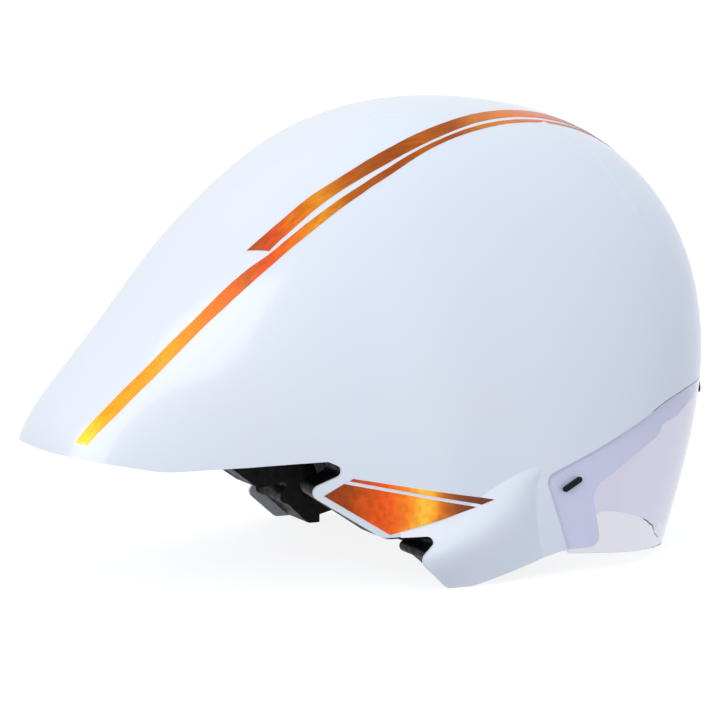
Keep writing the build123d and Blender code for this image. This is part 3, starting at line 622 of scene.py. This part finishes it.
def fit_pad(name, body, axis, count):
    """A pad in the place of its CAD node."""
    bpy.ops.object.select_all(action="DESELECT")
    pad = bpy.data.objects.new(name + "_cushion", nodes[name].data.copy())
    bpy.context.scene.collection.objects.link(pad)
    bpy.context.view_layer.objects.active = pad
    pad.select_set(True)
    pad.data.materials.clear()
    bpy.ops.object.mode_set(mode="EDIT")
    bpy.ops.mesh.select_all(action="SELECT")
    bpy.ops.mesh.remove_doubles(threshold=0.00001)
    bpy.ops.object.mode_set(mode="OBJECT")
    cells = pad.modifiers.new("cells", "REMESH")
    cells.mode = "VOXEL"
    cells.voxel_size = pad_cell
    bpy.ops.object.modifier_apply(modifier="cells")
    for corner, normal in with_normals(pad):
        corner.co -= normal * pad_start
    swell_as_cloth(pad)
    fine = pad.modifiers.new("fine", "SUBSURF")
    fine.levels = 1
    fine.render_levels = 1
    bpy.ops.object.modifier_apply(modifier="fine")
    press_channels(pad, name, axis, count)
    bpy.ops.object.shade_smooth()
    pad.data.materials.append(pad_knit)
    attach(pad, body)
    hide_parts(name)


for name, body, axis, count in pads:
    fit_pad(name, body, axis, count)

# Webbing. Flat polyester straps, held by the anchors, the dividers and the buckle. They are woven
# in a fine herringbone, so the pattern follows a map laid along each strap.
web_wall = 0.0011
web_columns = 4
web_step = 0.003
web_angle = math.radians(50)
yarn_tones = (
    (0.0, (0.012, 0.012, 0.013)),
    (1.0, (0.045, 0.045, 0.050)),
)

web_weave, tree, shader = new_material(
    "web_weave", (0.02, 0.02, 0.022), 0.75, {"Sheen Weight": 0.3}
)
flat = tree.nodes.new("ShaderNodeUVMap")
ribs = add_node(
    tree, "ShaderNodeTexWave", {"Vector": flat.outputs["UV"]}, Scale=190.0, Distortion=1.2,
    Detail=1.0, bands_direction="DIAGONAL",
)
weft = add_node(
    tree, "ShaderNodeTexWave", {"Vector": flat.outputs["UV"]}, Scale=260.0, Distortion=0.3,
    bands_direction="Y",
)
weave = pair_node(
    tree, "ShaderNodeMath", ribs.outputs["Fac"], weft.outputs["Fac"], operation="ADD"
)
raise_by(tree, shader, weave.outputs[0], 0.5, 0.0003)
tint_by(tree, shader, ribs.outputs["Fac"], yarn_tones)


def web_strap(name, middles, across, widths):
    """A strap along its middle line in the place of its CAD node.

    Across is the direction of its width. Its map runs along the strap and over it, in metres.
    """
    runs = len(middles) - 1
    bpy.ops.object.select_all(action="DESELECT")
    bpy.ops.mesh.primitive_grid_add(x_subdivisions=runs, y_subdivisions=web_columns, size=1)
    strap = bpy.context.object
    strap.name = name + "_woven"
    lengths = [0.0]
    for near, far in zip(middles, middles[1:]):
        lengths.append(lengths[-1] + (far - near).length)
    laid = {}
    for corner in strap.data.vertices:
        step = round((corner.co.x + 1 / 2) * runs)
        side = corner.co.y * widths[step]
        laid[corner.index] = (lengths[step], side)
        corner.co = middles[step] + across * side
    woven = strap.data.uv_layers[0]
    for loop in strap.data.loops:
        woven.data[loop.index].uv = laid[loop.vertex_index]
    thicken(strap, web_wall, 0)
    edge = strap.modifiers.new("edge", "BEVEL")
    edge.width = web_wall / 4
    edge.segments = 2
    edge.limit_method = "ANGLE"
    bpy.ops.object.modifier_apply(modifier="edge")
    bpy.ops.object.mode_set(mode="EDIT")
    bpy.ops.mesh.select_all(action="SELECT")
    bpy.ops.mesh.normals_make_consistent(inside=False)
    bpy.ops.object.mode_set(mode="OBJECT")
    bpy.ops.object.shade_smooth_by_angle(angle=web_angle)
    strap.data.materials.append(web_weave)
    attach(strap, "helmet")
    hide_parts(name)


def stepped(ends):
    """Even steps, each about as long as web_step, along straight runs between points."""
    line = [ends[0]]
    for near, far in zip(ends, ends[1:]):
        steps = max(1, round((far - near).length / web_step))
        line += [near.lerp(far, step / steps) for step in range(1, steps + 1)]
    return line


def end_middle(name, top):
    """The middle of a node's top or bottom edge."""
    edge_depth = 0.0001
    corners = [corner.co for corner in nodes[name].data.vertices]
    level = max(c.z for c in corners) if top else min(c.z for c in corners)
    edge = [c for c in corners if abs(c.z - level) < edge_depth]
    lowest = Vector([min(c[k] for c in edge) for k in range(3)])
    highest = Vector([max(c[k] for c in edge) for k in range(3)])
    return (lowest + highest) / 2


# Side straps. Each runs from its divider up to an anchor in the foam, and is cut round where the
# anchor covers its end.
side_web_width = 0.012
round_end = side_web_width / 2
narrowest_share = 0.25
for hand in ("left", "right"):
    for end in ("front", "rear"):
        name = "side_web_" + end + "_" + hand
        foot = end_middle(name, False)
        tip = end_middle(name, True)
        level = Vector((tip.x - foot.x, tip.y - foot.y, 0)).normalized()
        run = (tip - foot).normalized()
        face = level.cross(Vector((0, 0, 1)))
        line = stepped([foot, tip])
        widths = []
        for point in line:
            left_over = min((tip - point).length, round_end) / round_end
            share = math.sqrt(1 - (1 - left_over) ** 2)
            widths.append(side_web_width * max(narrowest_share, share))
        web_strap(name, line, run.cross(face), widths)

# Chin straps. The long one goes up the right side, over under the crown and down to the buckle,
# and the short one carries the buckle's tongue.
low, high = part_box("chin_web_long")
low_short, high_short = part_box("chin_web_short")
chin_width = high.x - low.x
chin_wall = high_short.y - low_short.y
middle = Vector(((low.x + high.x) / 2, 0, 0))
side_y = high.y - chin_wall / 2
shoulder = high.z - high.y
arch_steps = 48
arch = [
    middle + Vector((
        0,
        -side_y * math.cos(math.pi * step / arch_steps),
        shoulder + side_y * math.sin(math.pi * step / arch_steps),
    ))
    for step in range(arch_steps + 1)
]
long_end = end_middle("buckle_socket", True)
right_leg = stepped([middle + Vector((0, -side_y, low.z)), arch[0]])
left_leg = stepped([arch[-1], middle + Vector((0, side_y, long_end.z))])
long_line = right_leg[:-1] + arch + left_leg[1:]
web_strap("chin_web_long", long_line, Vector((1, 0, 0)), [chin_width] * len(long_line))
short_line = stepped([
    middle + Vector((0, side_y, low_short.z)), middle + Vector((0, side_y, high_short.z)),
])
web_strap("chin_web_short", short_line, Vector((1, 0, 0)), [chin_width] * len(short_line))
